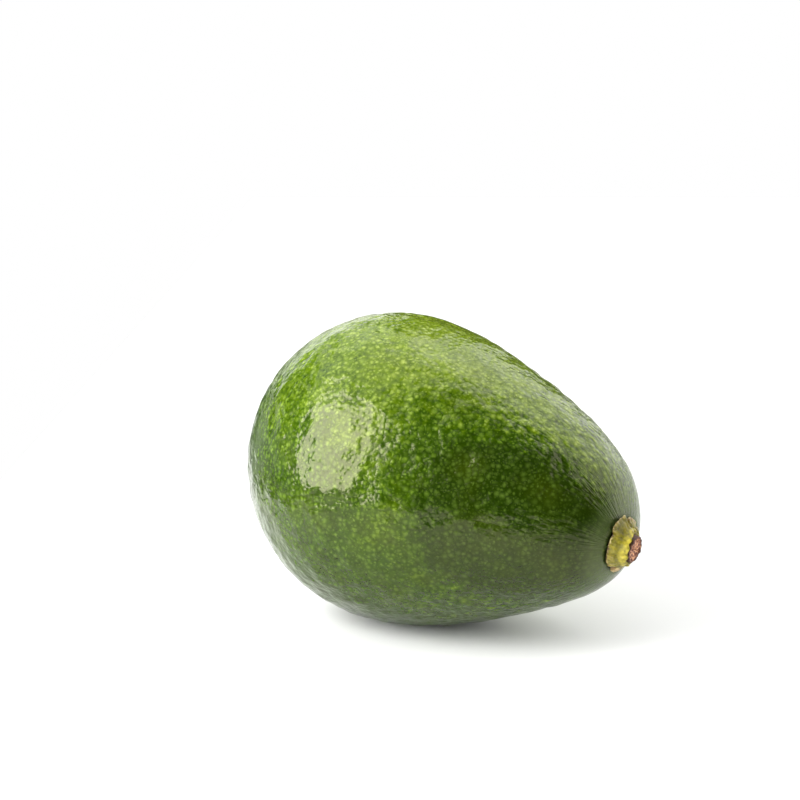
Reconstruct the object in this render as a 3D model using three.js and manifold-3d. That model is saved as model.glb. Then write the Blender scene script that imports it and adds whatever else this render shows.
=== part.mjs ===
// A whole avocado, as picked, lying on its side. Millimetres and degrees.
// +X runs from the blossom end to the stem end and +Z is up. The surface it rests on is z = 0,
// and the origin lies on that surface under the middle of the whole fruit.

import * as THREE from "three";
import { mergeVertices } from "three/addons/utils/BufferGeometryUtils.js";
import Module from "manifold-3d";

// Driving dimensions of the fruit. Its own axis runs from the blossom end to the stem end.
const fruitLength = 102; // skin to skin along that axis
const fullness = [39.9, 42.1, 41.4, 21.8, 33.5]; // weights of the half width, blossom end first
const blossomLift = 2; // how far the blossom end lies above the axis
const shoulderLift = 0.4; // the same, a third of the way along
const neckDroop = 4.3; // how far the stem end hangs below the axis
const noseDown = 2; // degrees that the axis dips towards the stem end as the fruit rests
const restDepth = 0.9; // how much of the belly is pressed flat where it rests

// Driving dimensions of the stem seat, the small flat on the nose that carries the calyx.
const seatSide = -2.4; // its middle lies this far to the side of the nose's tip
const seatDrop = 2.2; // and this far below it
const seatDepth = 1.3; // below the skin that was there
const seatRadius = 7.2; // flat out to here
const seatBlend = 3.6; // and from there the skin runs up over this width
const stemTurn = -3; // degrees that the stem points to the side
const stemDip = 9.5; // degrees that it points below the fruit's own axis

// Driving dimensions of the calyx and of the cut stem on it, along the stem from the seat.
const gap = 0.3; // clearance between pieces that touch
const calyxRadius = 6.6;
const calyxHeight = 2.7; // thickness where the stem stands
const calyxLobes = 7;
const notchDepth = 0.15; // of the radius, between two lobes
const lobeUneven = 0.03; // of the radius, how much longer or shorter a lobe is than the others
const stemRadius = 3.3;
const stemHeight = 1.3;

// Outlines from the underside out and up, as shares of the radius and of the height.
const calyxOutline = [
  [0.5, 0],
  [0.96, 0],
  [1, 0.2],
  [0.95, 0.37],
  [0.8, 0.56],
  [0.62, 0.85],
  [0.57, 1],
];
const stemOutline = [
  [0.94, 0],
  [0.98, 0.5],
  [1, 0.8],
  [0.92, 1],
];

// Fineness of the surfaces.
const fruitRings = 44;
const fruitSegments = 60;
const lobeSegments = 8; // faces across each lobe
const stemSegments = 32;

const xAxis = new THREE.Vector3(1, 0, 0);
const yAxis = new THREE.Vector3(0, 1, 0);
const zAxis = new THREE.Vector3(0, 0, 1);

// Bernstein blend of a few weights, for t from 0 to 1.
function blend(weights, t) {
  const n = weights.length - 1;
  let choose = 1;
  let sum = 0;
  weights.forEach((weight, i) => {
    sum += weight * choose * t ** i * (1 - t) ** (n - i);
    choose *= (n - i) / (i + 1);
  });
  return sum;
}

// Half width of the fruit: round at both ends, and as full between them as the weights say.
function halfWidth(t) {
  return 2 * Math.sqrt(Math.max(t * (1 - t), 0)) * blend(fullness, t);
}

// Height of the middle of the fruit's section above its own axis.
function centreHeight(t) {
  return blend([blossomLift, shoulderLift, 0, -neckDroop], t);
}

// Turns a lathe's +Y axis into +X, so that a profile's length runs along the fruit.
const lengthways = new THREE.Matrix4().makeRotationZ(-Math.PI / 2);

// The skin before its seat and its resting spot: a turned profile, bent along its centre line.
function bentBody() {
  const profile = [];
  for (let i = 0; i <= fruitRings; i++) {
    const t = (1 - Math.cos((Math.PI * i) / fruitRings)) / 2;
    const radius = i === 0 || i === fruitRings ? 0 : halfWidth(t);
    profile.push(new THREE.Vector2(radius, fruitLength * (t - 0.5)));
  }
  const body = new THREE.LatheGeometry(profile, fruitSegments).applyMatrix4(lengthways);
  const at = body.attributes.position;
  for (let i = 0; i < at.count; i++) {
    at.setZ(i, at.getZ(i) + centreHeight(at.getX(i) / fruitLength + 0.5));
  }
  return body;
}

// The way the stem points, in the fruit's own frame.
function stemDirection() {
  const dip = THREE.MathUtils.degToRad(stemDip);
  const turn = THREE.MathUtils.degToRad(stemTurn);
  return xAxis.clone().applyAxisAngle(yAxis, dip).applyAxisAngle(zAxis, turn);
}

// Middle of the seat: where the skin passes the given place beside the tip, less the seat's depth.
function seatCentre() {
  const height = -neckDroop - seatDrop;
  let inside = 0.5;
  let outside = 1;
  while (outside - inside > 1e-9) {
    const t = (inside + outside) / 2;
    const away = Math.hypot(seatSide, height - centreHeight(t));
    if (away < halfWidth(t)) inside = t;
    else outside = t;
  }
  const skin = new THREE.Vector3(fruitLength * (inside - 0.5), seatSide, height);
  return skin.addScaledVector(stemDirection(), -seatDepth);
}

// Flattens the skin round the stem onto the seat, and lets it run up smoothly outside it.
function pressSeat(body) {
  const centre = seatCentre();
  const direction = stemDirection();
  const at = body.attributes.position;
  const point = new THREE.Vector3();
  for (let i = 0; i < at.count; i++) {
    point.fromBufferAttribute(at, i).sub(centre);
    const along = point.dot(direction);
    const away = point.clone().addScaledVector(direction, -along).length();
    if (along < -seatRadius || away > seatRadius + seatBlend) continue;
    const keep = THREE.MathUtils.smoothstep(away, seatRadius, seatRadius + seatBlend);
    point.addScaledVector(direction, along * (keep - 1)).add(centre);
    at.setXYZ(i, point.x, point.y, point.z);
  }
}

const wasm = await Module();
wasm.setup();

// A closed geometry as a solid, with shared corners merged and empty triangles left out.
function toSolid(geometry) {
  const bare = geometry.clone();
  bare.deleteAttribute("normal");
  bare.deleteAttribute("uv");
  const merged = mergeVertices(bare);
  const corners = Array.from(merged.index.array);
  const triangles = [];
  for (let i = 0; i < corners.length; i += 3) {
    const [a, b, c] = corners.slice(i, i + 3);
    if (a !== b && b !== c && c !== a) triangles.push(a, b, c);
  }
  const vertProperties = Float32Array.from(merged.attributes.position.array);
  const mesh = new wasm.Mesh({ numProp: 3, vertProperties, triVerts: Uint32Array.from(triangles) });
  return new wasm.Manifold(mesh);
}

function toGeometry(solid) {
  const mesh = solid.getMesh();
  const geometry = new THREE.BufferGeometry();
  geometry.setAttribute("position", new THREE.BufferAttribute(mesh.vertProperties, 3));
  geometry.setIndex(new THREE.BufferAttribute(mesh.triVerts, 1));
  geometry.computeVertexNormals();
  return geometry;
}

// The whole fruit as it rests: seat pressed, axis dipped, belly cut flat at the height it returns.
function fruitAtRest(dip) {
  const body = bentBody();
  pressSeat(body);
  body.applyMatrix4(dip);
  body.computeBoundingBox();
  const floor = body.boundingBox.min.z + restDepth;
  const below = new THREE.BoxGeometry(2 * fruitLength, 2 * fruitLength, fruitLength);
  below.translate(0, 0, floor - fruitLength / 2);
  return { geometry: toGeometry(toSolid(body).subtract(toSolid(below))), floor };
}

// A turned piece standing at the given height, with its outline closed onto its axis.
function turned(outline, radius, height, base, segments) {
  const closed = [[0, 0], ...outline, [0, 1]];
  const profile = closed.map(([out, up]) => new THREE.Vector2(out * radius, base + up * height));
  return new THREE.LatheGeometry(profile, segments);
}

// The calyx: a thick button with rounded lobes, thin at their tips and thickest under the stem.
// One notch between two lobes points up.
function calyxGeometry() {
  const segments = calyxLobes * lobeSegments;
  const button = turned(calyxOutline, calyxRadius, calyxHeight, gap, segments);
  const collar = calyxRadius * calyxOutline.at(-1)[0];
  const at = button.attributes.position;
  for (let i = 0; i < at.count; i++) {
    const radius = Math.hypot(at.getX(i), at.getZ(i));
    const angle = Math.atan2(at.getZ(i), at.getX(i)) - Math.PI / 2;
    const outer = THREE.MathUtils.smoothstep(radius, collar, calyxRadius);
    const lobe = Math.sqrt(Math.abs(Math.sin((calyxLobes / 2) * angle)));
    const uneven = lobeUneven * (Math.cos(3 * angle) - Math.sin(2 * angle));
    const scale = 1 - outer * (notchDepth * (1 - lobe) - uneven);
    at.setX(i, at.getX(i) * scale);
    at.setZ(i, at.getZ(i) * scale);
  }
  return button;
}

// The stem, cut off just above the calyx: a short plug with a softened rim.
function stemGeometry() {
  return turned(stemOutline, stemRadius, stemHeight, 2 * gap + calyxHeight, stemSegments);
}

function namedMesh(name, geometry, color, roughness) {
  const material = new THREE.MeshStandardMaterial({ color, roughness, metalness: 0 });
  const mesh = new THREE.Mesh(geometry, material);
  mesh.name = name;
  return mesh;
}

const dip = new THREE.Matrix4().makeRotationY(THREE.MathUtils.degToRad(noseDown));
const { geometry: fruitGeometry, floor } = fruitAtRest(dip);
const avocado = new THREE.Group();
avocado.add(namedMesh("fruit", fruitGeometry, "#3f6b14", 0.35));

// The calyx and the stem stand on the seat, their lathe axis turned to point along the stem.
const stemEnd = new THREE.Group();
stemEnd.position.copy(seatCentre()).applyMatrix4(dip);
stemEnd.quaternion.setFromUnitVectors(yAxis, stemDirection().transformDirection(dip));
stemEnd.add(namedMesh("calyx", calyxGeometry(), "#a8a23a", 0.6));
stemEnd.add(namedMesh("stem_stub", stemGeometry(), "#8a5a34", 0.8));
avocado.add(stemEnd);

// Sets the origin on the resting surface, under the middle of the whole fruit.
avocado.updateMatrixWorld(true);
const middle = new THREE.Box3().setFromObject(avocado, true).getCenter(new THREE.Vector3());
avocado.position.set(-middle.x, -middle.y, -floor);
avocado.updateMatrixWorld(true);

export default avocado;
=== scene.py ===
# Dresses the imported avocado: waxy pebbled skin, lobed calyx and cut stem, under soft boxes.
# Metres, +Z up, +X from the blossom end to the stem end, as the frame has them.
import bpy
import bmesh
import math
import numpy as np
from mathutils import Matrix, Vector, noise


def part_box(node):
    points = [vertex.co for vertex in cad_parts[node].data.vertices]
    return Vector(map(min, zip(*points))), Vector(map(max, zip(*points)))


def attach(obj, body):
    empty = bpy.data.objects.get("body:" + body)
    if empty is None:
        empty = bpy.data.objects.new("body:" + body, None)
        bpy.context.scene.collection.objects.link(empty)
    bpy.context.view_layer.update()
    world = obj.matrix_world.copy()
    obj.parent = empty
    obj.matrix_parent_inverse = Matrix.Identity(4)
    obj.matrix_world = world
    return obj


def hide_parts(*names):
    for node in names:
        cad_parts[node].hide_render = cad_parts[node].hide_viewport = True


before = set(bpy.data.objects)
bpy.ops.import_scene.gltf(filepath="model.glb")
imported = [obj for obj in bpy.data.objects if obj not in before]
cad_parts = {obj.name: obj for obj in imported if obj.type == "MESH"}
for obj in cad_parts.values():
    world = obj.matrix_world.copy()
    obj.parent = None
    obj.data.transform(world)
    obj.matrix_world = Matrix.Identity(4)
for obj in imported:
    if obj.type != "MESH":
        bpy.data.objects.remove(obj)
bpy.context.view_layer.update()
mm = 0.001


def linear(hexColour):
    # sRGB hex to the linear values that sockets take
    parts = [int(hexColour[i:i + 2], 16) / 255 for i in (1, 3, 5)]
    return tuple(c / 12.92 if c <= 0.04045 else ((c + 0.055) / 1.055) ** 2.4 for c in parts) + (1.0,)


def smoothStep(value, low, high):
    t = np.clip((value - low) / (high - low), 0, 1)
    return t * t * (3 - 2 * t)


# settings that many nodes share; a Mix node in colour takes its share as i0 and its colours as i6 and i7
soft = {"interpolation_type": "SMOOTHSTEP"}
inColour = {"data_type": "RGBA"}
times, plus, minus = [{"operation": name} for name in ("MULTIPLY", "ADD", "SUBTRACT")]
timesPlus, dot, length, distance = [
    {"operation": name} for name in ("MULTIPLY_ADD", "DOT_PRODUCT", "LENGTH", "DISTANCE")]


def addNode(tree, kind, settings=None, **sockets):
    # one node with its settings; a socket, by name or by place as i0, takes a constant or an output
    made = tree.nodes.new("ShaderNode" + kind)
    for name, value in (settings or {}).items():
        if name == "stops":
            ramp = made.color_ramp.elements
            ramp.remove(ramp[1])
            ramp[0].position, ramp[0].color = value[0][0], linear(value[0][1])
            for place, colour in value[1:]:
                ramp.new(place).color = linear(colour)
        else:
            setattr(made, name, value)
    for name, value in sockets.items():
        key = int(name[1:]) if name[0] == "i" and name[1:].isdigit() else name.replace("_", " ")
        if isinstance(value, bpy.types.NodeSocket):
            tree.links.new(value, made.inputs[key])
        else:
            made.inputs[key].default_value = value
    return made


def newMaterial(name):
    material = bpy.data.materials.new(name)
    material.use_nodes = True
    return material, material.node_tree, material.node_tree.nodes["Principled BSDF"]


def newPiece(name, bm, material=None, smooth=True):
    # the bmesh as a finished object at the origin, unturned
    bmesh.ops.recalc_face_normals(bm, faces=bm.faces[:])
    mesh = bpy.data.meshes.new(name)
    bm.to_mesh(mesh)
    bm.free()
    if smooth:
        mesh.shade_smooth()
    else:
        mesh.shade_flat()
    mesh.materials.append(material)
    piece = bpy.data.objects.new(name, mesh)
    bpy.context.scene.collection.objects.link(piece)
    return piece


def getPoints(mesh):
    points = np.empty(len(mesh.vertices) * 3)
    mesh.vertices.foreach_get("co", points)
    return points.reshape(-1, 3)


def setPoints(mesh, points):
    mesh.vertices.foreach_set("co", points.ravel())
    mesh.update()


fruit = dict(
    length=102 * mm,
    fullness=[39.9 * mm, 42.1 * mm, 41.4 * mm, 21.8 * mm, 33.5 * mm],  # blossom end first
    centreLine=[2.0 * mm, 0.4 * mm, 0, -4.3 * mm],  # its droop towards the stem
    noseDown=2.0,  # degrees
    restDepth=0.9 * mm,  # how much of the belly is pressed flat
    gridCuts=127,  # faces along an edge of the starting cube, less one
)

seat = dict(
    side=-2.4 * mm,  # from the nose's tip, and so is the drop
    drop=2.2 * mm,
    depth=1.3 * mm,  # below the skin that was there
    radius=4.8 * mm,  # flat out to here; the calyx hides the rest
    blend=3.2 * mm,
    turn=-3.0,  # degrees that the stem points to the side
    dip=9.5,  # and below the fruit's own axis
)


def bernstein(weights, t):
    n = len(weights) - 1
    return sum(w * math.comb(n, i) * t ** i * (1 - t) ** (n - i) for i, w in enumerate(weights))


tilt = Matrix.Rotation(math.radians(fruit["noseDown"]), 3, "Y")
stemAxisLocal = (
    Matrix.Rotation(math.radians(seat["turn"]), 3, "Z")
    @ Matrix.Rotation(math.radians(seat["dip"]), 3, "Y")
    @ Vector((1, 0, 0))
)


def seatCentreLocal():
    # where the skin passes the seat's place beside the tip, less the seat's depth
    height = fruit["centreLine"][-1] - seat["drop"]
    inside, outside = 0.5, 1.0
    while outside - inside > 1e-9:
        t = (inside + outside) / 2
        away = math.hypot(seat["side"], height - bernstein(fruit["centreLine"], t))
        if away < 2 * math.sqrt(t * (1 - t)) * bernstein(fruit["fullness"], t):
            inside = t
        else:
            outside = t
    skin = Vector((fruit["length"] * (inside - 0.5), seat["side"], height))
    return skin - stemAxisLocal * seat["depth"]


def pressSeat(points):
    centre, axis = np.array(seatCentreLocal()), np.array(stemAxisLocal)
    along = (points - centre) @ axis
    away = np.linalg.norm(points - centre - along[:, None] * axis, axis=1)
    keep = smoothStep(away, seat["radius"], seat["radius"] + seat["blend"])
    keep[along < -seat["radius"]] = 1  # the far side of the fruit
    return points + (along * (keep - 1))[:, None] * axis


def bodyPoints(sphere):
    # unit sphere to the bent, seated body in the fruit's own frame
    t = (sphere[:, 0] + 1) / 2
    full = bernstein(fruit["fullness"], t)
    height = bernstein(fruit["centreLine"], t)
    body = np.stack([fruit["length"] * (t - 0.5), sphere[:, 1] * full, sphere[:, 2] * full + height], 1)
    return pressSeat(body)


skinRelief = dict(
    lumps=(30 * mm, 0.5 * mm),  # size and height of each kind, coarse to fine
    hummocks=(4.6 * mm, 0.28 * mm),
    pebbles=(2.2 * mm, 0.14 * mm),
    smoothNear=(9 * mm, 24 * mm),  # hummocks and pebbles grow between these distances from the stem
    bareNear=(6 * mm, 10 * mm),  # and there is no relief at all inside the first of these
    neck=25 * mm,  # farther back than this along the stem's axis, nothing is near the stem
    spotMargin=1.5 * mm,  # the relief fades out over this height above the table
    scarRadius=1.3 * mm,  # the dry spot where the flower was
    scarWidth=4.5 * mm,  # and the dimple that it lies in
    scarDip=0.5 * mm,
    scarNub=0.6,  # share of its radius and dip at which its middle rises again
)


def relief(points, stemPoint, stemAxis, blossomPoint):
    # height of the skin's relief over its smooth shape, for each point
    along = (points - stemPoint) @ stemAxis
    across = np.linalg.norm(points - stemPoint - along[:, None] * stemAxis, axis=1)
    fromStem = np.where(along < -skinRelief["neck"], 1.0, across)
    grown = smoothStep(fromStem, *skinRelief["smoothNear"])
    height = np.zeros(len(points))
    for kind in ("lumps", "hummocks", "pebbles"):
        size, tall = skinRelief[kind]
        layer = tall * np.array([noise.noise(Vector(point) / size) for point in points])
        height += layer if kind == "lumps" else layer * grown
    fromScar = np.linalg.norm(points - blossomPoint, axis=1)
    radius, nubShare = skinRelief["scarRadius"], skinRelief["scarNub"]
    dip = 1 - smoothStep(fromScar, radius, skinRelief["scarWidth"])
    nub = 1 - smoothStep(fromScar, nubShare * radius, radius)
    height *= smoothStep(fromStem, *skinRelief["bareNear"])
    return height - skinRelief["scarDip"] * (dip - nubShare * nub)


def makeFruit():
    bm = bmesh.new()
    bmesh.ops.create_cube(bm, size=2)
    bmesh.ops.subdivide_edges(bm, edges=bm.edges[:], cuts=fruit["gridCuts"], use_grid_fill=True)
    piece = newPiece("avocado_skin", bm)
    mesh = piece.data
    cube = np.tan(getPoints(mesh) * math.pi / 4)  # evens out the faces once they lie on the sphere
    points = bodyPoints(cube / np.linalg.norm(cube, axis=1)[:, None])
    turn = np.array(tilt)
    points = points @ turn.T
    low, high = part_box("fruit")
    shift = np.array([low.x - points[:, 0].min(), 0, -points[:, 2].min() - fruit["restDepth"]])
    points += shift
    setPoints(mesh, points)
    normals = np.empty(len(points) * 3)
    mesh.vertex_normals.foreach_get("vector", normals)
    stemPoint = np.array(seatCentreLocal()) @ turn.T + shift
    stemAxis = np.array(stemAxisLocal) @ turn.T
    blossomPoint = points[points[:, 0].argmin()]
    height = relief(points, stemPoint, stemAxis, blossomPoint)
    height *= smoothStep(points[:, 2], 0, skinRelief["spotMargin"])
    points += height[:, None] * normals.reshape(-1, 3)
    points[:, 2] = np.maximum(points[:, 2], 0)  # pressed flat where it rests
    setPoints(mesh, points)
    return piece, Vector(stemPoint), Vector(stemAxis), Vector(blossomPoint)


calyx = dict(  # heights and radii in millimetres
    outline=[  # radius and height, from the underside out, round the rim and up to the collar
        (0, 0.1), (2.6, 0.1), (4.2, 0.1), (5.2, 0.12), (5.8, 0.25), (6.2, 0.4), (6.4, 0.52), (6.42, 0.68),
        (6.25, 0.84), (6.0, 1.05), (5.7, 1.3), (5.4, 1.55), (5.1, 1.8), (4.8, 2.06), (4.55, 2.34),
        (4.35, 2.62), (4.2, 2.92), (4.08, 3.2), (3.98, 3.4), (3.84, 3.48), (3.7, 3.38), (3.62, 3.1),
        (3.5, 2.6), (3.4, 2.25), (3.0, 2.2), (1.6, 2.2), (0, 2.2),
    ],
    lobes=[  # length, lift, dryness and fullness of each, the first one left of the top
        (1.16, 0.15, 0.3, 0.2), (0.9, 0.1, 0.1, 0.9), (0.93, 0.1, 0.3, 1.0), (1.04, 0.25, 0.9, 0.5),
        (0.95, 0.2, 0.6, 0.4), (0.98, 0.3, 0.5, 0.4), (1.0, 0.1, 0.55, 0.0),
    ],
    notch=0.13,  # of the radius, between two lobes
    sharpness=8,  # the higher, the narrower the folds between lobes
    facesPerLobe=26,
    bulge=0.75,  # how much a full lobe stands over a flat one
    crease=0.34,  # depth of the folds between lobes
    ridge=1.35,  # the collar stands this much higher on its high side
    sag=0.8,  # and this much lower opposite
    ridgeAngle=1.65,  # and its high side lies at this angle, in radians
    lowest=0.06,  # above the seat
    upperFrom=(0.52, 0.84),  # heights between which the side that shows begins
    shadeUnderUpTo=(0.4, 0.62),  # and the hidden underside, painted dark brown partly as shade under the rim, ends
    zones=dict(  # radii between which each part of the calyx begins, or ends
        collar=(3.52, 3.7), collarEnd=(4.2, 4.7), middle=(3.9, 4.8), middleEnd=(5.6, 6.5),
        crumple=(4.0, 4.6), drying=(4.4, 6.5), outer=(4.5, 6.3), tip=(5.2, 6.6), fray=(5.9, 6.4),
        edge=(6.28, 6.42),
    ),
    frayed=(0.45, 6, 0.035),  # pitch, seed and amount of the ragged rim, as a share of the radius
    wavy=(1.1, 2, 0.4),  # the same for the height of the collar's lip
    swaying=(1.4, 3, 0.05),  # and for its radius
    folded=(1.0, 7, 0.16),  # of the folds that run outwards
    crumpled=(0.8, 1, 0.1),  # and of the surface itself
    rings=dict(rim=6.5, lip=4, folds=9),  # radii of the rings along which that noise is read
    drift=0.5,  # how fast the folds change outwards
    collarFloor=2.0,  # the collar is only what stands above this
)
stub = dict(  # heights and radii in millimetres
    outline=[
        (0, 2.3), (2.0, 2.3), (2.95, 2.3), (3.02, 2.6), (3.05, 3.1), (3.08, 3.6), (3.12, 4.0), (3.15, 4.3),
        (3.1, 4.52), (3.0, 4.6), (2.88, 4.57), (2.76, 4.46), (2.6, 4.38), (2.35, 4.34), (2.1, 4.33),
        (1.8, 4.34), (1.5, 4.35), (1.2, 4.36), (0.9, 4.37), (0.6, 4.38), (0.3, 4.38), (0, 4.38),
    ],
    faces=96,
    slant=0.1,  # of the cut, which falls away from the calyx's high side
    barkFrom=(2.7, 2.84),  # radii between which the wood turns to bark
    cutFrom=(3.7, 4.3),  # heights between which the side turns to the cut
    barkLumps=(0.9, 8, 0.03),  # pitch, seed and amount, as on the calyx
    rimLumps=(0.75, 4, 0.15),
    cutLumps=(0.75, 5, 0.2),
    cutGrain=(0.4, 9, 0.1),
    ring=3.3,  # radius of the ring along which the bark's noise is read
    drift=0.6,  # and how fast that changes upwards
    width=3.0,  # radius that counts as the whole way across the cut
)


def spunPiece(name, outline, steps):
    # a few vertices of the outline, spun once round +Z
    bm = bmesh.new()
    line = [bm.verts.new((radius * mm, 0, height * mm)) for radius, height in outline]
    edges = [bm.edges.new(pair) for pair in zip(line, line[1:])]
    bmesh.ops.spin(bm, geom=line + edges, cent=(0, 0, 0), axis=(0, 0, 1), angle=math.tau,
                   steps=steps, use_merge=True)
    bmesh.ops.remove_doubles(bm, verts=bm.verts[:], dist=0.001 * mm)
    return newPiece(name, bm)


def polar(points):
    # radius and angle about +Z; angle 0 points up on the fruit
    return np.hypot(points[:, 0], points[:, 1]), np.arctan2(points[:, 1], points[:, 0])


def around(angle, radius, height):
    # where to read noise that depends on the angle, and as far as the height varies on that
    return np.stack([radius * np.cos(angle), radius * np.sin(angle), height + 0 * angle], 1) * mm


def roughen(points, pitch, seed, amount):
    # smooth noise at each point, up to the amount either way; the pitch is in millimetres
    shift = Vector((seed * 17.3, seed * 5.1, seed * 9.7))
    return 2 * amount * np.array([noise.noise(Vector(point) / (pitch * mm) + shift) for point in points])


def setOnSeat(points, stemPoint, stemAxis):
    # +Z of the piece becomes the stem's direction and +X points up
    up = (Vector((0, 0, 1)) - stemAxis * stemAxis.z).normalized()
    turn = np.array([up, stemAxis.cross(up), stemAxis]).T
    return points @ turn.T + np.array(stemPoint)


def setShare(mesh, name, values):
    # a value for each vertex, which the material reads by name
    mesh.attributes.new(name, "FLOAT", "POINT").data.foreach_set("value", values)


def finishPiece(piece):
    rounding = piece.modifiers.new("rounding", "SUBSURF")
    rounding.levels = rounding.render_levels = 1


def makeCalyx(stemPoint, stemAxis):
    count = len(calyx["lobes"])
    piece = spunPiece("calyx_lobes", calyx["outline"], count * calyx["facesPerLobe"])
    mesh = piece.data
    points = getPoints(mesh) / mm
    radius, angle = polar(points)
    upper = smoothStep(points[:, 2], *calyx["upperFrom"])
    under = 1 - smoothStep(points[:, 2], *calyx["shadeUnderUpTo"])
    past = {name: smoothStep(radius, *span) for name, span in calyx["zones"].items()}
    outer = past["outer"]
    middle = past["middle"] * (1 - past["middleEnd"])
    turns = (angle / math.tau % 1) * count
    index = np.minimum(turns.astype(int), count - 1)
    side = 2 * (turns - index) - 1  # from -1 to 1 across a lobe
    length, lift, dry, full = np.array(calyx["lobes"])[index].T
    between = np.abs(side) ** calyx["sharpness"]  # rises only close to the fold between two lobes
    scale = 1 + outer * ((length - 1) * (1 - between) - calyx["notch"] * between)
    rings = calyx["rings"]
    scale += past["fray"] * roughen(around(angle, rings["rim"], 0), *calyx["frayed"])
    points[:, :2] *= scale[:, None]
    points[:, 2] += outer * lift * (1 - between) * past["tip"]
    points[:, 2] += upper * calyx["bulge"] * full * middle * (1 - between)
    points[:, 2] -= upper * calyx["crease"] * between * outer
    # the collar round the stem: a wavy lip, higher on one side
    collar = past["collar"] * (1 - past["collarEnd"]) * (points[:, 2] > calyx["collarFloor"])
    facing = 0.5 + 0.5 * np.cos(angle - calyx["ridgeAngle"])
    high = facing ** 2 * calyx["ridge"] - (1 - facing) ** 2 * calyx["sag"]
    lip = around(angle, rings["lip"], 0)
    points[:, 2] += collar * (high + roughen(lip, *calyx["wavy"]))
    points[:, :2] *= (1 + collar * roughen(lip, *calyx["swaying"]))[:, None]
    # folds that run outwards, and the crumpled surface of a drying leaf
    spokes = around(angle, rings["folds"], radius * calyx["drift"])
    points[:, 2] += upper * past["crumple"] * (
        roughen(spokes, *calyx["folded"]) + roughen(points * mm, *calyx["crumpled"]))
    points[:, 2] = np.maximum(points[:, 2], calyx["lowest"])
    setPoints(mesh, setOnSeat(points * mm, stemPoint, stemAxis))
    setShare(mesh, "collar", collar)
    setShare(mesh, "dry", dry * past["drying"])
    setShare(mesh, "edge", past["edge"])
    # folds between lobes, which the material darkens with painted shade
    setShare(mesh, "fold", between * outer)
    # the underside, which the material paints dark, partly as shade
    setShare(mesh, "under", under)
    finishPiece(piece)
    return piece


def makeStub(stemPoint, stemAxis):
    piece = spunPiece("cut_stub", stub["outline"], stub["faces"])
    mesh = piece.data
    points = getPoints(mesh) / mm
    radius, angle = polar(points)
    bark = smoothStep(radius, *stub["barkFrom"])
    top = smoothStep(points[:, 2], *stub["cutFrom"])
    rim = around(angle, stub["ring"], points[:, 2] * stub["drift"])
    points[:, :2] *= (1 + bark * roughen(rim, *stub["barkLumps"]))[:, None]
    points[:, 2] += top * bark * roughen(rim, *stub["rimLumps"])
    points[:, 2] += top * (1 - bark) * (
        roughen(points * mm, *stub["cutLumps"]) + roughen(points * mm, *stub["cutGrain"]))
    points[:, 2] += top * stub["slant"] * points[:, 1]
    setPoints(mesh, setOnSeat(points * mm, stemPoint, stemAxis))
    setShare(mesh, "bark", bark)
    setShare(mesh, "across", radius / stub["width"])
    finishPiece(piece)
    return piece


rind = dict(
    toneAndPaintedLight=(1.6, 10.2, 8.6),  # per metre, the way the skin gets paler: partly its own tone, partly painted light and shade
    ends=-140,  # per square metre, and darker towards both ends: painted shade
    patches=(16 * mm, 0.3),  # pitch of each kind of unevenness, and how much it changes the tone
    mottle=(4 * mm, 0.6),
    grain=(1.2 * mm, 0.8),
    darkPatches=[  # middle, reach and depth of the darker, greener side below the neck
        ((33 * mm, -26 * mm, 34 * mm), 26 * mm, 1.85),
        ((15 * mm, -20 * mm, 48 * mm), 20 * mm, 0.3),
    ],
    darkCore=5 * mm,  # each is at its darkest out to here
    span=(0.38, 1.68),  # what all that adds up to where the skin is darkest, and palest
    tones=[(0.05, "#1a2c01"), (0.35, "#273f00"), (0.65, "#4c6404"), (0.95, "#697f0d")],
    paleTones=[(0.05, "#587027"), (0.35, "#6e8a2c"), (0.65, "#8e9f44"), (0.95, "#a3b256")],
    olive="#4b5504",  # where the green gives way to yellow, in broad patches
    oliveSize=11 * mm,
    oliveSpan=(0.42, 0.8),  # the noise's values where it begins and where it is strongest
    oliveShare=0.2,
    specks=[  # pitch, least and greatest radius, and contrast in the dark skin and in the pale
        (1.5 * mm, 0.45 * mm, 1.05 * mm, 0.55, 0.85),
        (0.95 * mm, 0.25 * mm, 0.5 * mm, 0.4, 0.55),
    ],
    speckTones=(0.25, 0.7),  # shares of the tone where those two contrasts hold
    speckDullest=0.1,  # of the contrast, for the dullest speck
    speckWobble=0.4,  # of the pitch, how far a speck's outline strays
    fadeHeights=(15 * mm, 45 * mm),  # the specks are at their faintest below the first
    faintest=0.55,
    domeHeight=0.055 * mm,
    domeReach=0.7,  # of the pitch
    fineDome=0.25,  # of the height, on the finer specks
    domesGrow=(9 * mm, 30 * mm),  # from the stem
    domesLeast=0.1,  # of the height, nearest to it
    strokeStart=(9 * mm, 18 * mm),  # distances from the stem over which the neck's strokes begin
    strokeEnd=(28 * mm, 60 * mm),  # and end
    strokeCount=20,  # the higher, the finer round the neck
    strokeLength=2 * mm,
    strokeTone=1.6,
    strokeHeight=0.2 * mm,
    foldEnd=(9 * mm, 27 * mm),
    foldCount=22,
    foldLength=6 * mm,
    foldHeight=0.17 * mm,
    haloColour="#4d5c31",
    haloReach=(8 * mm, 13 * mm),
    haloShare=0.6,
    scarColour="#4a3620",
    scarReach=(1.6 * mm, 3 * mm),
    scarShare=0.9,
    scarRagged=1.5 * mm,
    roughness=0.16,
    ior=1.42,  # plant wax
    sheen="#fff5d2",
)


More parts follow.
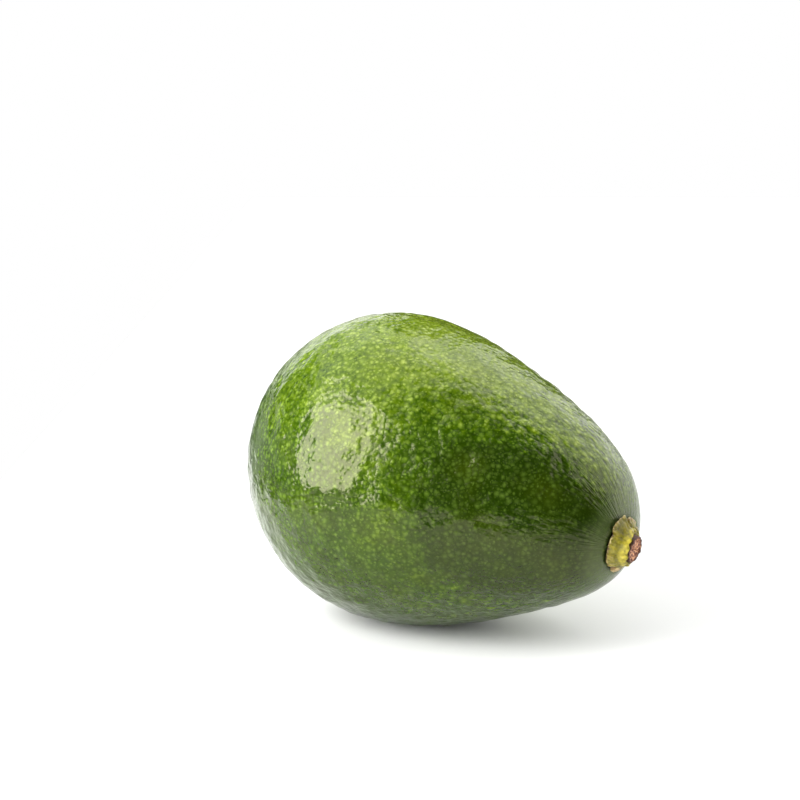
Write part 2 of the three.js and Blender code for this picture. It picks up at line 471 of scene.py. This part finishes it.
def lenticels(tree, at, normal, toneAndPaintedLight, pitch, least, most, inDark, inPale):
    # one kind of pale speck, laid flat on the surface: its share of the colour, and its low dome
    wobble = addNode(tree, "TexNoise", Vector=at, Scale=1.5 / pitch, Detail=1.0)
    shaken = addNode(tree, "VectorMath", timesPlus, i0=wobble.outputs["Color"],
                     i1=(rind["speckWobble"] * pitch,) * 3, i2=at)
    cells = addNode(tree, "TexVoronoi", Vector=shaken.outputs[0], Scale=1 / pitch, Randomness=0.9)
    offset = addNode(tree, "VectorMath", minus, i0=cells.outputs["Position"], i1=shaken.outputs[0])
    outwards = addNode(tree, "VectorMath", {"operation": "PROJECT"}, i0=offset.outputs[0], i1=normal)
    level = addNode(tree, "VectorMath", minus, i0=offset.outputs[0], i1=outwards.outputs[0])
    away = addNode(tree, "VectorMath", length, i0=level.outputs[0])
    draw = addNode(tree, "SeparateColor", Color=cells.outputs["Color"])
    reach = addNode(tree, "MapRange", Value=draw.outputs[0], To_Min=least, To_Max=most)
    speck = addNode(tree, "MapRange", soft, Value=away.outputs["Value"],
                    From_Min=0.0, From_Max=reach.outputs[0], To_Min=1.0, To_Max=0.0)
    dark, pale = rind["speckTones"]
    contrast = addNode(tree, "MapRange", Value=toneAndPaintedLight, From_Min=dark, From_Max=pale,
                       To_Min=inDark, To_Max=inPale)
    uneven = addNode(tree, "MapRange", Value=draw.outputs[1], To_Min=rind["speckDullest"], To_Max=1.0)
    height = addNode(tree, "SeparateXYZ", Vector=at)
    fadeLow, fadeHigh = rind["fadeHeights"]
    fainter = addNode(tree, "MapRange", Value=height.outputs["Z"], From_Min=fadeLow, From_Max=fadeHigh,
                      To_Min=rind["faintest"])
    drawn = addNode(tree, "Math", times, i0=fainter.outputs[0], i1=uneven.outputs[0])
    strength = addNode(tree, "Math", times, i0=contrast.outputs[0], i1=drawn.outputs[0])
    share = addNode(tree, "Math", times, i0=speck.outputs[0], i1=strength.outputs[0])
    dome = addNode(tree, "MapRange", soft, Value=away.outputs["Value"],
                   From_Min=0.0, From_Max=rind["domeReach"] * pitch, To_Min=1.0, To_Max=0.0)
    return share.outputs[0], dome.outputs[0]


def skinMaterial(stemPoint, stemAxis, blossomPoint):
    # Ripe green avocado skin: waxy cuticle over a leathery rind. Pale lenticels, soft broad gloss.
    material, tree, shader = newMaterial("waxy_avocado_rind")
    at = addNode(tree, "TexCoord").outputs["Object"]

    def fade(value, reach, start=1.0, end=0.0):
        # a share that runs softly from start to end while the value crosses the reach
        return addNode(tree, "MapRange", soft, Value=value, From_Min=reach[0], From_Max=reach[1],
                       To_Min=start, To_Max=end).outputs[0]

    # the rind is paler and yellower on top and round its middle, partly its own tone and partly painted
    # light and shade; the darkening towards both ends is painted shade
    up = addNode(tree, "VectorMath", dot, i0=at, i1=rind["toneAndPaintedLight"])
    squares = addNode(tree, "VectorMath", times, i0=at, i1=at)
    end = addNode(tree, "VectorMath", dot, i0=squares.outputs[0], i1=(rind["ends"], 0, 0))
    toned = addNode(tree, "Math", plus, i0=up.outputs["Value"], i1=end.outputs["Value"])
    # and uneven everywhere
    patches = addNode(tree, "TexNoise", Vector=at, Scale=1 / rind["patches"][0], Detail=2.0)
    mottle = addNode(tree, "TexNoise", Vector=at, Scale=1 / rind["mottle"][0], Detail=4.0, Roughness=0.75)
    grain = addNode(tree, "TexNoise", Vector=at, Scale=1 / rind["grain"][0], Detail=1.0)
    for name, kind in (("patches", patches), ("mottle", mottle), ("grain", grain)):
        toned = addNode(tree, "Math", timesPlus, i0=kind.outputs[0], i1=rind[name][1], i2=toned.outputs[0])
    for middle, reach, depth in rind["darkPatches"]:
        away = addNode(tree, "VectorMath", distance, i0=at, i1=middle)
        shade = fade(away.outputs["Value"], (rind["darkCore"], reach), start=depth)
        toned = addNode(tree, "Math", minus, i0=toned.outputs[0], i1=shade)
    # drawn-out strokes along the neck
    local = addNode(tree, "Mapping", {"vector_type": "TEXTURE"}, Vector=at, Location=stemPoint,
                    Rotation=stemAxis.to_track_quat("Z", "Y").to_euler())
    flat = addNode(tree, "VectorMath", times, i0=local.outputs[0], i1=(1, 1, 0))
    ring = addNode(tree, "VectorMath", {"operation": "NORMALIZE"}, i0=flat.outputs[0])
    fromStem = addNode(tree, "VectorMath", length, i0=local.outputs[0]).outputs["Value"]
    farther = addNode(tree, "Math", times, i0=fromStem, i1=1 / rind["strokeLength"])
    rise = addNode(tree, "CombineXYZ", Z=farther.outputs[0])
    brushed = addNode(tree, "VectorMath", timesPlus, i0=ring.outputs[0],
                      i1=(rind["strokeCount"],) * 3, i2=rise.outputs[0])
    stroke = addNode(tree, "TexNoise", Vector=brushed.outputs[0], Scale=1.0, Detail=2.0)
    level = addNode(tree, "Math", minus, i0=stroke.outputs[0], i1=0.5)
    strokeShare = addNode(tree, "Math", times, i0=fade(fromStem, rind["strokeStart"], 0.0, 1.0),
                          i1=fade(fromStem, rind["strokeEnd"]))
    strokes = addNode(tree, "Math", times, i0=level.outputs[0], i1=strokeShare.outputs[0])
    toned = addNode(tree, "Math", timesPlus, i0=strokes.outputs[0], i1=rind["strokeTone"],
                    i2=toned.outputs[0])
    darkest, palest = rind["span"]
    # tone from darkest to palest, with the painted light and shade above in it
    toneAndPaintedLight = addNode(tree, "MapRange", Value=toned.outputs[0], From_Min=darkest, From_Max=palest)
    base = addNode(tree, "ValToRGB", {"stops": rind["tones"]}, Fac=toneAndPaintedLight.outputs[0])
    pale = addNode(tree, "ValToRGB", {"stops": rind["paleTones"]}, Fac=toneAndPaintedLight.outputs[0])
    yellowing = addNode(tree, "TexNoise", Vector=at, Scale=1 / rind["oliveSize"], Detail=2.0)
    yellow = fade(yellowing.outputs[0], rind["oliveSpan"], 0.0, rind["oliveShare"])
    rindColour = addNode(tree, "Mix", inColour, i0=yellow, i6=base.outputs[0], i7=linear(rind["olive"]))
    # lenticels: a pale speck on each pebble of the skin, and finer ones between
    normal = addNode(tree, "NewGeometry").outputs["Normal"]
    (broad, broadDome), (fine, fineDome) = [
        lenticels(tree, at, normal, toneAndPaintedLight.outputs[0], *kind) for kind in rind["specks"]]
    speckShare = addNode(tree, "Math", {"operation": "MAXIMUM"}, i0=broad, i1=fine)
    specked = addNode(tree, "Mix", inColour, i0=speckShare.outputs[0], i6=rindColour.outputs[2],
                      i7=pale.outputs[0])
    # smooth greyish ring round the calyx
    colour = addNode(tree, "Mix", inColour, i0=fade(fromStem, rind["haloReach"], start=rind["haloShare"]),
                     i6=specked.outputs[2], i7=linear(rind["haloColour"]))
    # dry brown scar where the flower was
    fromScar = addNode(tree, "VectorMath", distance, i0=at, i1=blossomPoint)
    ragged = addNode(tree, "Math", timesPlus, i0=grain.outputs[0], i1=rind["scarRagged"],
                     i2=fromScar.outputs["Value"])
    scarred = addNode(tree, "Mix", inColour,
                      i0=fade(ragged.outputs[0], rind["scarReach"], start=rind["scarShare"]),
                      i6=colour.outputs[2], i7=linear(rind["scarColour"]))
    tree.links.new(scarred.outputs[2], shader.inputs["Base Color"])
    # fine folds that run from the calyx over the neck
    outwards = addNode(tree, "Math", times, i0=fromStem, i1=1 / rind["foldLength"])
    lift = addNode(tree, "CombineXYZ", Z=outwards.outputs[0])
    spokes = addNode(tree, "VectorMath", timesPlus, i0=ring.outputs[0],
                     i1=(rind["foldCount"],) * 3, i2=lift.outputs[0])
    fold = addNode(tree, "TexNoise", Vector=spokes.outputs[0], Scale=1.0, Detail=3.0)
    folds = addNode(tree, "Math", times, i0=fold.outputs[0], i1=fade(fromStem, rind["foldEnd"]))
    folded = addNode(tree, "Bump", Distance=rind["foldHeight"], Height=folds.outputs[0])
    streaked = addNode(tree, "Bump", Distance=rind["strokeHeight"], Height=strokes.outputs[0],
                       Normal=folded.outputs[0])
    # the domes of the specks, which fade out near the calyx
    domes = addNode(tree, "Math", timesPlus, i0=fineDome, i1=rind["fineDome"], i2=broadDome)
    grown = fade(fromStem, rind["domesGrow"], rind["domesLeast"], 1.0)
    pebbles = addNode(tree, "Math", times, i0=domes.outputs[0], i1=grown)
    pebbled = addNode(tree, "Bump", Distance=rind["domeHeight"], Height=pebbles.outputs[0],
                      Normal=streaked.outputs[0])
    tree.links.new(pebbled.outputs[0], shader.inputs["Normal"])
    shader.inputs["Roughness"].default_value = rind["roughness"]
    shader.inputs["IOR"].default_value = rind["ior"]
    shader.inputs["Specular Tint"].default_value = linear(rind["sheen"])
    return material


leaf = dict(
    flesh=[(0.35, "#524c03"), (0.5, "#746d04"), (0.65, "#94881c")],
    mottleSize=1.5 * mm,
    ridge="#c0b02f",  # the bright lip of the collar, in patches
    ridgeSize=1.1 * mm,
    ridgeSpan=(0.35, 0.65),  # the noise's values where it is dullest and brightest
    ridgeDullest=0.05,
    crisp=[(0.36, "#6b4a2a"), (0.5, "#9a7a48"), (0.62, "#c2ad74")],  # where it has dried
    drySpan=(0.7, 1.15),  # dryness and stain together, where it starts to look dry and where it is
    rim=[(0.4, "#3f2a12"), (0.5, "#85723a"), (0.62, "#bfb077")],
    stainSize=0.9 * mm,
    # painted shade in the folds between lobes, and how strongly it is laid on
    fold="#4f4411",
    foldShadeShare=0.6,
    # dark brown underside: partly the dry leaf's own brown, partly painted shade under the lifted rim
    under="#38240f",
    grainSize=0.5 * mm,
    grainHeight=0.15 * mm,
    roughness=0.45,
)


def calyxMaterial():
    # Drying calyx: fleshy and yellow by the stem, duller outwards, brown and crisp at the tips.
    material, tree, shader = newMaterial("drying_calyx")
    at = addNode(tree, "TexCoord").outputs["Object"]
    share = {name: addNode(tree, "Attribute", {"attribute_name": name}).outputs["Fac"]
             for name in ("collar", "dry", "edge", "fold", "under")}
    mottle = addNode(tree, "TexNoise", Vector=at, Scale=1 / leaf["mottleSize"], Detail=4.0, Roughness=0.65)
    flesh = addNode(tree, "ValToRGB", {"stops": leaf["flesh"]}, Fac=mottle.outputs[0])
    ripple = addNode(tree, "TexNoise", Vector=at, Scale=1 / leaf["ridgeSize"], Detail=2.0)
    dull, clear = leaf["ridgeSpan"]
    patches = addNode(tree, "MapRange", Value=ripple.outputs[0], From_Min=dull, From_Max=clear,
                      To_Min=leaf["ridgeDullest"], To_Max=1.0)
    bright = addNode(tree, "Math", times, i0=share["collar"], i1=patches.outputs[0])
    ridge = addNode(tree, "Mix", inColour, i0=bright.outputs[0], i6=flesh.outputs[0],
                    i7=linear(leaf["ridge"]))
    stain = addNode(tree, "TexNoise", Vector=at, Scale=1 / leaf["stainSize"], Detail=4.0, Roughness=0.7)
    dryer = addNode(tree, "Math", plus, i0=stain.outputs[0], i1=share["dry"])
    fresh, dry = leaf["drySpan"]
    dryShare = addNode(tree, "MapRange", soft, Value=dryer.outputs[0], From_Min=fresh, From_Max=dry)
    crisp = addNode(tree, "ValToRGB", {"stops": leaf["crisp"]}, Fac=stain.outputs[0])
    dried = addNode(tree, "Mix", inColour, i0=dryShare.outputs[0], i6=ridge.outputs[2], i7=crisp.outputs[0])
    rim = addNode(tree, "ValToRGB", {"stops": leaf["rim"]}, Fac=stain.outputs[0])
    edged = addNode(tree, "Mix", inColour, i0=share["edge"], i6=dried.outputs[2], i7=rim.outputs[0])
    # painted shade in the folds between the lobes
    foldShade = addNode(tree, "Math", times, i0=share["fold"], i1=leaf["foldShadeShare"])
    folded = addNode(tree, "Mix", inColour, i0=foldShade.outputs[0], i6=edged.outputs[2],
                     i7=linear(leaf["fold"]))
    # the underside's dark brown, partly painted shade under the rim
    colour = addNode(tree, "Mix", inColour, i0=share["under"], i6=folded.outputs[2],
                     i7=linear(leaf["under"]))
    grain = addNode(tree, "TexNoise", Vector=at, Scale=1 / leaf["grainSize"], Detail=3.0)
    bump = addNode(tree, "Bump", Distance=leaf["grainHeight"], Height=grain.outputs[0])
    tree.links.new(colour.outputs[2], shader.inputs["Base Color"])
    tree.links.new(bump.outputs[0], shader.inputs["Normal"])
    shader.inputs["Roughness"].default_value = leaf["roughness"]
    return material


wood = dict(
    # end grain: its palest flecks, on the raised fibres, are painted highlights, its darkest, in the pores,
    # painted shade
    cut=[(0.34, "#4a2113"), (0.44, "#98573a"), (0.52, "#cd8f60"), (0.6, "#ffd09a")],
    bark=[(0.4, "#2a1610"), (0.6, "#6d4030")],
    fibreSize=0.55 * mm,  # drawn coarser than real fibres, so that they show
    fibreHeight=0.25 * mm,
    darkerOut=-0.08,  # from the middle of the cut to its rim
    roughness=0.55,
)


def stemMaterial():
    # Cut stem: damp tan end grain with open pores, inside a thin dark bark. The end grain's palest flecks,
    # on its raised fibres, are painted highlights, and its darkest, in the pores, painted shade.
    material, tree, shader = newMaterial("cut_green_wood")
    at = addNode(tree, "TexCoord").outputs["Object"]
    bark = addNode(tree, "Attribute", {"attribute_name": "bark"}).outputs["Fac"]
    across = addNode(tree, "Attribute", {"attribute_name": "across"}).outputs["Fac"]
    fibre = addNode(tree, "TexNoise", Vector=at, Scale=1 / wood["fibreSize"], Detail=3.0, Roughness=0.65)
    ring = addNode(tree, "Math", timesPlus, i0=across, i1=wood["darkerOut"], i2=fibre.outputs[0])
    # painted highlights on the fibre tops and painted shade in the pores, over the wood's tan
    cut = addNode(tree, "ValToRGB", {"stops": wood["cut"]}, Fac=ring.outputs[0])
    skin = addNode(tree, "ValToRGB", {"stops": wood["bark"]}, Fac=fibre.outputs[0])
    colour = addNode(tree, "Mix", inColour, i0=bark, i6=cut.outputs[0], i7=skin.outputs[0])
    bump = addNode(tree, "Bump", Distance=wood["fibreHeight"], Height=fibre.outputs[0])
    tree.links.new(colour.outputs[2], shader.inputs["Base Color"])
    tree.links.new(bump.outputs[0], shader.inputs["Normal"])
    shader.inputs["Roughness"].default_value = wood["roughness"]
    return material


paper = dict(white=0.86, roughness=0.9, specular=0.1)  # the first is the share of light it sends back


def paperMaterial():
    # Matt white paper.
    material, _, shader = newMaterial("white_table")
    shader.inputs["Base Color"].default_value = (paper["white"],) * 3 + (1,)
    shader.inputs["Roughness"].default_value = paper["roughness"]
    shader.inputs["Specular IOR Level"].default_value = paper["specular"]
    return material


camera = dict(azimuth=35, elevation=11, distance=455 * mm, lens=85, nearest=10 * mm,
              aim=(-10.5 * mm, -3.0 * mm, 17.1 * mm))  # from the middle of the fruit
table = dict(left=0.14, right=1.5, front=0.17, back=1.2)  # from the origin, as the camera sees it; metres
room = dict(
    dimness=0.02,  # how bright its walls are to the fruit; the camera sees plain white
    lampAim=35 * mm,  # height that every soft box is turned to
)
softBoxes = dict(
    # azimuth and elevation seen from the fruit, distance, width, height, radiance and roll
    key_box=(-28, 22, 0.42, 0.32, 0.45, 11.8),  # stands on the table to the camera's left
    strip_box=(2, 31, 0.42, 0.02, 0.2, 5.5),  # and a narrow one beside it
    top_box=(-100, 67, 2.0, 2.3, 2.3, 1.9),  # hangs over the table
    right_box=(150, 35, 2.5, 4.0, 3.8, 2.4, 14),  # fills the right and the back
    rim_wall=(-127, 16, 2.5, 1.5, 1.1, 1.6),  # low behind on the left
    left_wall=(-88, -1, 2.5, 2.3, 1.0, 0.8),  # and beyond the table's left edge, dimmer
)


def direction(azimuth, elevation):
    # azimuth 0 looks along +Y from the front, 90 from the stem end
    a, e = math.radians(azimuth), math.radians(elevation)
    return Vector((math.sin(a) * math.cos(e), -math.cos(a) * math.cos(e), math.sin(e)))


def placed(data, name, place, towards):
    made = bpy.data.objects.new(name, data)
    made.location = place
    made.rotation_euler = (towards - place).to_track_quat("-Z", "Y").to_euler()
    bpy.context.scene.collection.objects.link(made)
    return made


def makeCamera():
    low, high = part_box("fruit")
    target = (low + high) / 2 + Vector(camera["aim"])
    data = bpy.data.cameras.new("camera")
    data.lens = camera["lens"]
    data.clip_start = camera["nearest"]
    place = target + direction(camera["azimuth"], camera["elevation"]) * camera["distance"]
    bpy.context.scene.camera = placed(data, "camera", place, target)


def makeStage():
    bm = bmesh.new()
    bmesh.ops.create_grid(bm, x_segments=1, y_segments=1, size=0.5)
    wide, deep = table["left"] + table["right"], table["front"] + table["back"]
    middle = ((table["right"] - table["left"]) / 2, (table["back"] - table["front"]) / 2, 0)
    turn = Matrix.Rotation(math.radians(camera["azimuth"]), 4, "Z")
    bmesh.ops.transform(bm, verts=bm.verts[:],
                        matrix=turn @ Matrix.Translation(middle) @ Matrix.Diagonal((wide, deep, 1, 1)))
    newPiece("floor", bm, paperMaterial(), smooth=False)


def makeSoftBox(name, azimuth, elevation, distance, width, height, radiance, roll=0):
    data = bpy.data.lights.new(name, "AREA")
    data.shape = "RECTANGLE"
    data.size, data.size_y = width, height
    data.energy = radiance * math.pi * width * height  # watts for that radiance
    aim = Vector((0, 0, room["lampAim"]))
    made = placed(data, name, aim + direction(azimuth, elevation) * distance, aim)
    turned = made.rotation_euler.to_matrix() @ Matrix.Rotation(math.radians(roll), 3, "Z")
    made.rotation_euler = turned.to_euler()
    made.visible_camera = False


def makeLight():
    scene = bpy.context.scene
    scene.view_settings.view_transform = "Standard"
    world = bpy.data.worlds.new("studio")
    world.use_nodes = True
    walls = world.node_tree.nodes["Background"]
    ray = addNode(world.node_tree, "LightPath")
    strength = addNode(world.node_tree, "MapRange", Value=ray.outputs["Is Camera Ray"],
                       To_Min=room["dimness"], To_Max=1.0)
    walls.inputs["Color"].default_value = linear("#ffffff")
    world.node_tree.links.new(strength.outputs[0], walls.inputs["Strength"])
    scene.world = world
    for name, values in softBoxes.items():
        makeSoftBox(name, *values)


makeCamera()
makeStage()
makeLight()
print("camera, stage and light are set")
skin, stemPoint, stemAxis, blossomPoint = makeFruit()
skin.data.materials[0] = skinMaterial(stemPoint, stemAxis, blossomPoint)
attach(skin, "root")
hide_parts("fruit")
print("fruit made,", len(skin.data.polygons), "faces")
calyxPiece = makeCalyx(stemPoint, stemAxis)
calyxPiece.data.materials[0] = calyxMaterial()
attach(calyxPiece, "root")
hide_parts("calyx")
stubPiece = makeStub(stemPoint, stemAxis)
stubPiece.data.materials[0] = stemMaterial()
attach(stubPiece, "root")
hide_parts("stem_stub")
print("calyx and cut stem made")
